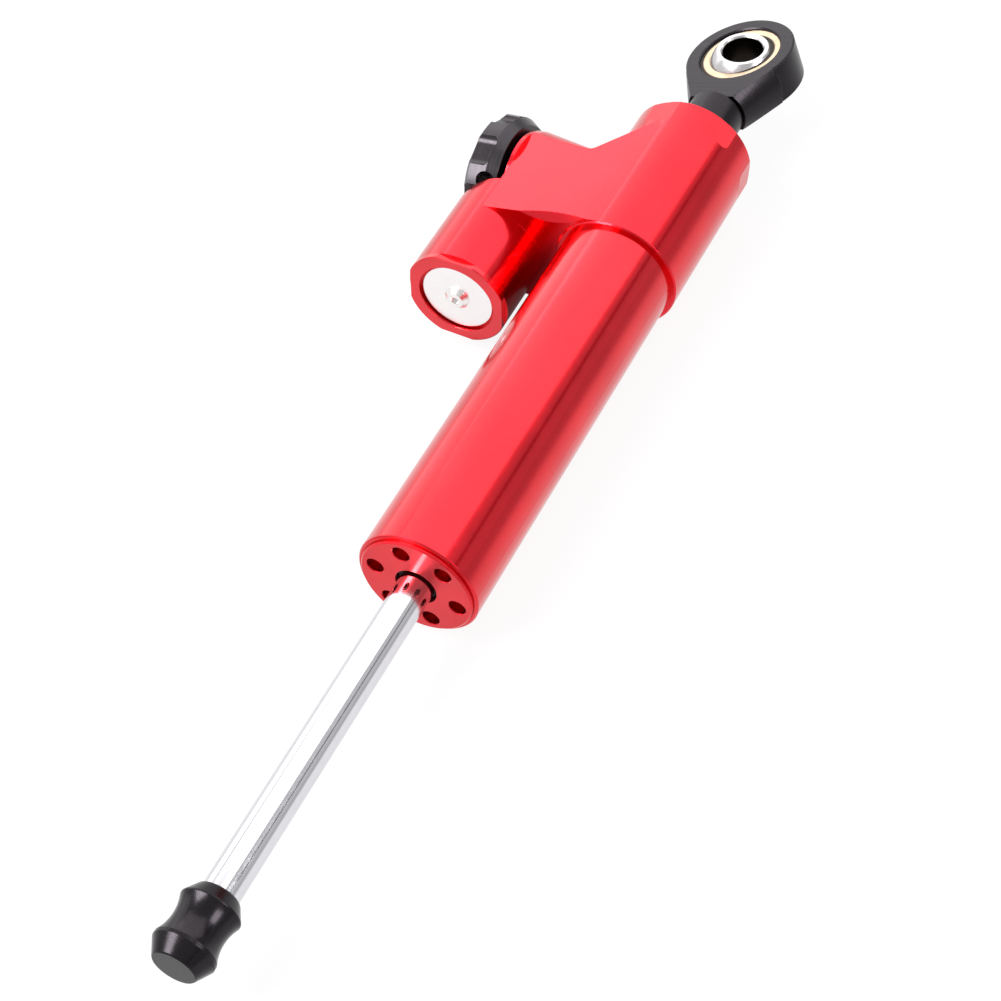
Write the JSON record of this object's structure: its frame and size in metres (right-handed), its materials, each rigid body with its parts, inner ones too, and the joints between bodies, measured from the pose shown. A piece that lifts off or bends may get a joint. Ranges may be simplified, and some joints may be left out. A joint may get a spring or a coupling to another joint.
{
  "type": "motorcycle steering damper",
  "caption": "Linear motorcycle steering damper with a side reservoir, a lobed adjuster knob, a spherical rod end and a chromed rod with a waisted cap nut.",
  "frame": {"origin": "centre of the rod end's ball", "axes": "+X along the damper's axis towards the rod's tip, -Y towards the reservoir and the knob, +Z along the ball's bore"},
  "size_m": [0.2909, 0.0606, 0.0334],
  "materials": {
    "red_anodised": "clear bright anodising, gloss",
    "black_anodised": "satin black anodising",
    "hard_chrome": "ground and polished",
    "steel": "turned, bright",
    "bearing_steel": "polished",
    "polished_aluminium": "polished",
    "bronze": "turned, satin",
    "brass": "turned",
    "seal_rubber": "matt",
    "bearing_plastic": "matt"
  },
  "bodies": {
    "damper_body": {"head_block": "red_anodised", "main_tube": "red_anodised", "tube_o_ring": "seal_rubber", "gland_cap": "red_anodised", "wiper_seal": "seal_rubber", "rod_guide": "polished_aluminium", "guide_bush": "bronze", "rod_seal": "seal_rubber", "guide_o_ring": "seal_rubber", "reservoir_end_cap": "red_anodised", "reservoir_o_ring": "seal_rubber", "reservoir_cover": "polished_aluminium", "reservoir_cover_screw": "steel", "adjuster_cartridge": "brass", "cartridge_o_ring": "seal_rubber", "needle_seat": "brass", "detent_ball": "bearing_steel", "detent_spring": "steel", "rod_end_housing": "black_anodised", "ball_race": "bronze"},
    "rod": {"damper_rod": "hard_chrome", "top_out_bumper": "seal_rubber", "piston": "polished_aluminium", "piston_ring": "bearing_plastic", "front_shims": "steel", "rear_shims": "steel", "piston_nut": "steel", "rod_end_cap": "black_anodised"},
    "swivel_ball": {"ball": "bearing_steel"},
    "knob": {"adjuster_knob": "black_anodised", "knob_grub_screw": "steel", "adjuster_spindle": "steel", "spindle_o_ring": "seal_rubber"},
    "valve_needle": {"needle": "brass"},
    "compensator": {"floating_piston": "polished_aluminium", "floating_piston_seal": "seal_rubber"}
  },
  "joints": [
    {"name": "rod_slide", "type": "slide", "parent": "damper_body", "child": "rod", "axis": [1, 0, 0], "range_m": [-0.075, 0]},
    {"name": "ball_swivel", "type": "hinge", "parent": "damper_body", "child": "swivel_ball", "pos_m": [0, 0, 0], "axis": [1, 0, 0], "range_deg": [-2.4, 23.6]},
    {"name": "knob_turn", "type": "hinge", "parent": "damper_body", "child": "knob", "pos_m": [0.0563, 0, 0], "axis": [0, -1, 0], "range_deg": [-150, 150]},
    {"name": "needle_feed", "type": "slide", "parent": "damper_body", "child": "valve_needle", "axis": [0, -1, 0], "range_m": [-0.000315, 0.000315]},
    {"name": "compensator_slide", "type": "slide", "parent": "damper_body", "child": "compensator", "axis": [1, 0, 0], "range_m": [0, 0.00984]}
  ],
  "couplings": [
    {"joint": "needle_feed", "follows": "knob_turn", "m_per_rad": 0.00011937},
    {"joint": "compensator_slide", "follows": "rod_slide", "ratio": -0.13104}
  ]
}
